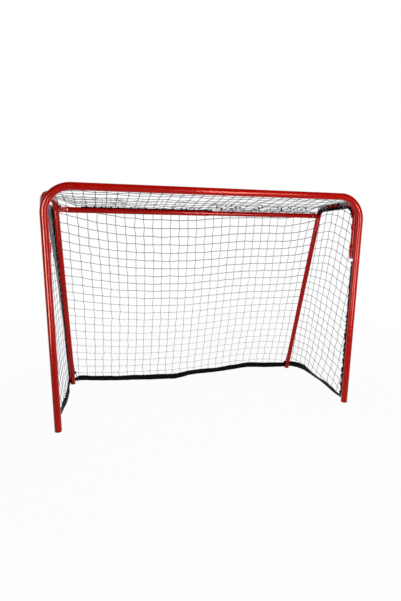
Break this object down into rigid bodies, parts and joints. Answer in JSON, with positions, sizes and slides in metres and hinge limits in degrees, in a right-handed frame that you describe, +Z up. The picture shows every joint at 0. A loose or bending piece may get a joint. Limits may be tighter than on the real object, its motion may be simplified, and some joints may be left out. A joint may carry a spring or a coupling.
{
  "type": "folding goal",
  "caption": "Small folding sports goal with a tubular front hoop, two fold-in side arms, a telescopic rear bar, laced net and bottom strap.",
  "frame": {"origin": "on the floor under the middle of the whole goal as it stands open", "axes": "+X along the crossbar to the right as seen from the mouth, +Y from the mouth to the back, +Z up"},
  "size_m": [1.6132, 0.6896, 1.15],
  "materials": {
    "red_paint": "gloss powder coat",
    "red_plastic": "satin",
    "zinc": "zinc plated",
    "black_plastic": "moulded",
    "white_twine": "knotted twine",
    "black_cord": "braided cord",
    "black_strap": "woven strap"
  },
  "bodies": {
    "front": {"front_frame": "red_paint", "left_front_foot": "red_plastic", "right_front_foot": "red_plastic", "left_upper_hinge": "red_paint", "left_lower_hinge": "red_paint", "right_upper_hinge": "red_paint", "right_lower_hinge": "red_paint", "left_post_lacing": "black_cord", "right_post_lacing": "black_cord", "top_net": "white_twine", "back_net": "white_twine", "back_strap": "black_strap"},
    "left_side_arm": {"left_arm": "red_paint", "left_top_collar": "red_paint", "left_under_collar": "red_paint", "left_leg_plug": "red_plastic", "left_rear_foot": "red_plastic", "left_bar_lug": "red_paint", "left_bar_bolt": "zinc", "left_bar_nut": "zinc", "left_arm_lacing": "black_cord", "left_foot_tie": "black_cord", "left_net": "white_twine", "left_strap": "black_strap"},
    "right_side_arm": {"right_arm": "red_paint", "right_top_collar": "red_paint", "right_under_collar": "red_paint", "right_leg_plug": "red_plastic", "right_rear_foot": "red_plastic", "right_bar_lug": "red_paint", "right_bar_bolt": "zinc", "right_bar_nut": "zinc", "right_arm_lacing": "black_cord", "right_foot_tie": "black_cord", "right_net": "white_twine", "right_strap": "black_strap"},
    "bar_outer": {"rear_bar_outer": "red_paint", "bar_outer_fork": "red_paint", "lock_boss": "red_paint"},
    "bar_inner": {"rear_bar_inner": "red_paint", "bar_inner_fork": "red_paint", "bar_guide_plug": "red_plastic"},
    "bar_lock": {"lock_screw": "black_plastic"}
  },
  "joints": [
    {"name": "left_fold", "type": "hinge", "parent": "front", "child": "left_side_arm", "pos_m": [-0.783, -0.29185, 0.93], "axis": [0, 0, -1], "range_deg": [0, 87.5]},
    {"name": "right_fold", "type": "hinge", "parent": "front", "child": "right_side_arm", "pos_m": [0.783, -0.29185, 0.93], "axis": [0, 0, 1], "range_deg": [0, 87.5]},
    {"name": "bar_outer_pivot", "type": "hinge", "parent": "left_side_arm", "child": "bar_outer", "pos_m": [-0.72838, 0.04208, 1.065], "axis": [0, 0, 1], "range_deg": [0, 87.5]},
    {"name": "bar_inner_pivot", "type": "hinge", "parent": "right_side_arm", "child": "bar_inner", "pos_m": [0.72838, 0.04208, 1.065], "axis": [0, 0, -1], "range_deg": [0, 87.5]},
    {"name": "lock_screw_turn", "type": "hinge", "parent": "bar_outer", "child": "bar_lock", "pos_m": [0.03, 0.04208, 1.065], "axis": [0, 1, 0], "range_deg": [0, 360]}
  ],
  "couplings": [
    {"joint": "right_fold", "follows": "left_fold", "ratio": 1},
    {"joint": "bar_outer_pivot", "follows": "left_fold", "ratio": 1},
    {"joint": "bar_inner_pivot", "follows": "left_fold", "ratio": 1}
  ]
}
